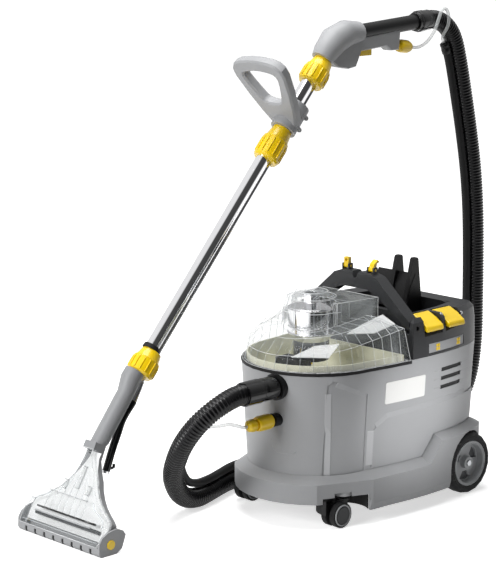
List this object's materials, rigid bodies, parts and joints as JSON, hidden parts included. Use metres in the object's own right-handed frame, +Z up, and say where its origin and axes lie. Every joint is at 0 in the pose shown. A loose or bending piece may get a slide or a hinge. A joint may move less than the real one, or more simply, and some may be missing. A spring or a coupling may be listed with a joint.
{
  "type": "spot extractor",
  "caption": "Wheeled spray extraction cleaner with a clear tank lid, carry handle, ribbed suction hose, and a long bent wand that ends in a flat floor nozzle.",
  "frame": {"origin": "middle of the base of the box round everything but the hoses, on the floor", "axes": "+X to the machine's rear, +Y to the far side where the wand stands, +Z up"},
  "size_m": [1.2312, 0.4601, 0.9433],
  "materials": {
    "grey_shell": "fine grained moulded grey",
    "dark_grey_shell": "fine grained moulded dark grey",
    "charcoal_shell": "fine grained moulded charcoal",
    "black_plastic": "satin black",
    "black_rubber": "matt black",
    "tyre": "matt black",
    "yellow_plastic": "satin yellow",
    "clear_plastic": "clear smoked moulding",
    "cream_plastic": "satin cream",
    "clear_tube": "clear flexible tube",
    "chrome": "bright polished",
    "steel": "plain zinc plated",
    "motor_case": "plain cast"
  },
  "bodies": {
    "machine": {"chassis": "dark_grey_shell", "main_housing": "grey_shell", "rear_axle": "steel", "lid_seal": "black_rubber", "dirty_water_tank": "cream_plastic", "fluff_filter": "black_plastic", "control_panel": "charcoal_shell", "indicator_strip": "dark_grey_shell", "tool_holder": "charcoal_shell", "vacuum_motor": "motor_case", "spray_pump": "black_plastic", "battery_pack": "charcoal_shell", "suction_port": "black_plastic", "machine_cuff": "black_plastic", "spray_port": "black_plastic", "spray_nipple": "yellow_plastic", "suction_hose": "black_rubber", "hose_sheath": "black_rubber", "spray_tube_machine": "clear_tube", "spray_tube_grip": "clear_tube", "lower_tube": "chrome", "upper_tube": "chrome", "spray_line": "chrome", "tube_seal": "black_rubber", "lower_collar": "yellow_plastic", "middle_collar": "yellow_plastic", "upper_collar": "yellow_plastic", "second_handle": "grey_shell", "handle_clamp": "grey_shell", "clamp_screw_lower": "steel", "clamp_screw_upper": "steel", "grip_body": "grey_shell", "grip_tube": "black_plastic", "grip_cuff": "black_plastic", "grip_coupling": "yellow_plastic", "nozzle_body": "grey_shell", "nozzle_cover": "clear_plastic", "spray_bar": "charcoal_shell", "nozzle_shoe": "dark_grey_shell"},
    "rear_wheel_near": {"rear_tyre_near": "tyre", "rear_hub_near": "grey_shell"},
    "rear_wheel_far": {"rear_tyre_far": "tyre", "rear_hub_far": "grey_shell"},
    "caster_near": {"caster_fork_near": "black_plastic"},
    "caster_far": {"caster_fork_far": "black_plastic"},
    "caster_roller_near": {"caster_wheels_near": "black_rubber"},
    "caster_roller_far": {"caster_wheels_far": "black_rubber"},
    "vacuum_rocker": {"vacuum_switch": "yellow_plastic"},
    "pump_rocker": {"pump_switch": "yellow_plastic"},
    "handle": {"carry_handle": "charcoal_shell"},
    "near_hook": {"cable_hook_near": "yellow_plastic"},
    "far_hook": {"cable_hook_far": "yellow_plastic"},
    "lid": {"tank_lid": "clear_plastic", "cut_off_chamber": "chrome", "filter_basket": "black_plastic"},
    "float": {"float_valve": "yellow_plastic"},
    "trigger": {"spray_trigger": "yellow_plastic"},
    "sleeve": {"coupling_sleeve": "yellow_plastic"},
    "near_button": {"end_button_near": "yellow_plastic"},
    "far_button": {"end_button_far": "yellow_plastic"}
  },
  "joints": [
    {"name": "rear_wheel_near_spin", "type": "hinge", "parent": "machine", "child": "rear_wheel_near", "pos_m": [0.277, -0.203, 0.062], "axis": [0, 1, 0], "continuous": true},
    {"name": "rear_wheel_far_spin", "type": "hinge", "parent": "machine", "child": "rear_wheel_far", "pos_m": [0.277, 0.083, 0.062], "axis": [0, 1, 0], "continuous": true},
    {"name": "caster_near_swivel", "type": "hinge", "parent": "machine", "child": "caster_near", "pos_m": [-0.053, -0.18, 0.06], "axis": [0, 0, 1], "continuous": true},
    {"name": "caster_far_swivel", "type": "hinge", "parent": "machine", "child": "caster_far", "pos_m": [-0.053, 0.06, 0.06], "axis": [0, 0, 1], "continuous": true},
    {"name": "caster_near_roll", "type": "hinge", "parent": "caster_near", "child": "caster_roller_near", "pos_m": [-0.07, -0.18, 0.025], "axis": [0, 1, 0], "continuous": true},
    {"name": "caster_far_roll", "type": "hinge", "parent": "caster_far", "child": "caster_roller_far", "pos_m": [-0.07, 0.06, 0.025], "axis": [0, 1, 0], "continuous": true},
    {"name": "vacuum_rocker_press", "type": "hinge", "parent": "machine", "child": "vacuum_rocker", "pos_m": [0.163, -0.19368, 0.36024], "axis": [1, 0, 0], "range_deg": [0, 14]},
    {"name": "pump_rocker_press", "type": "hinge", "parent": "machine", "child": "pump_rocker", "pos_m": [0.227, -0.19368, 0.36024], "axis": [1, 0, 0], "range_deg": [0, 14]},
    {"name": "handle_fold", "type": "hinge", "parent": "machine", "child": "handle", "pos_m": [0.118, -0.06, 0.362], "axis": [0, 1, 0], "range_deg": [0, 13]},
    {"name": "near_hook_swivel", "type": "hinge", "parent": "handle", "child": "near_hook", "pos_m": [0.118, -0.093, 0.461], "axis": [0, 1, 0], "range_deg": [-60, 60]},
    {"name": "far_hook_swivel", "type": "hinge", "parent": "handle", "child": "far_hook", "pos_m": [0.118, -0.027, 0.461], "axis": [0, 1, 0], "range_deg": [-60, 60]},
    {"name": "lid_lift", "type": "slide", "parent": "machine", "child": "lid", "axis": [0, 0, 1], "range_m": [0, 0.12]},
    {"name": "float_rise", "type": "slide", "parent": "lid", "child": "float", "axis": [0, 0, 1], "range_m": [0, 0.013]},
    {"name": "trigger_squeeze", "type": "slide", "parent": "machine", "child": "trigger", "axis": [0, 0, 1], "range_m": [0, 0.004], "stiffness_N_per_m": 500, "springref_m": -0.002},
    {"name": "sleeve_pull", "type": "slide", "parent": "machine", "child": "sleeve", "axis": [-1, 0, 0], "range_m": [0, 0.005], "stiffness_N_per_m": 600, "springref_m": -0.003},
    {"name": "near_button_press", "type": "slide", "parent": "machine", "child": "near_button", "axis": [0, 1, 0], "range_m": [0, 0.002], "stiffness_N_per_m": 600, "springref_m": -0.001},
    {"name": "far_button_press", "type": "slide", "parent": "machine", "child": "far_button", "axis": [0, -1, 0], "range_m": [0, 0.002], "stiffness_N_per_m": 600, "springref_m": -0.001}
  ]
}
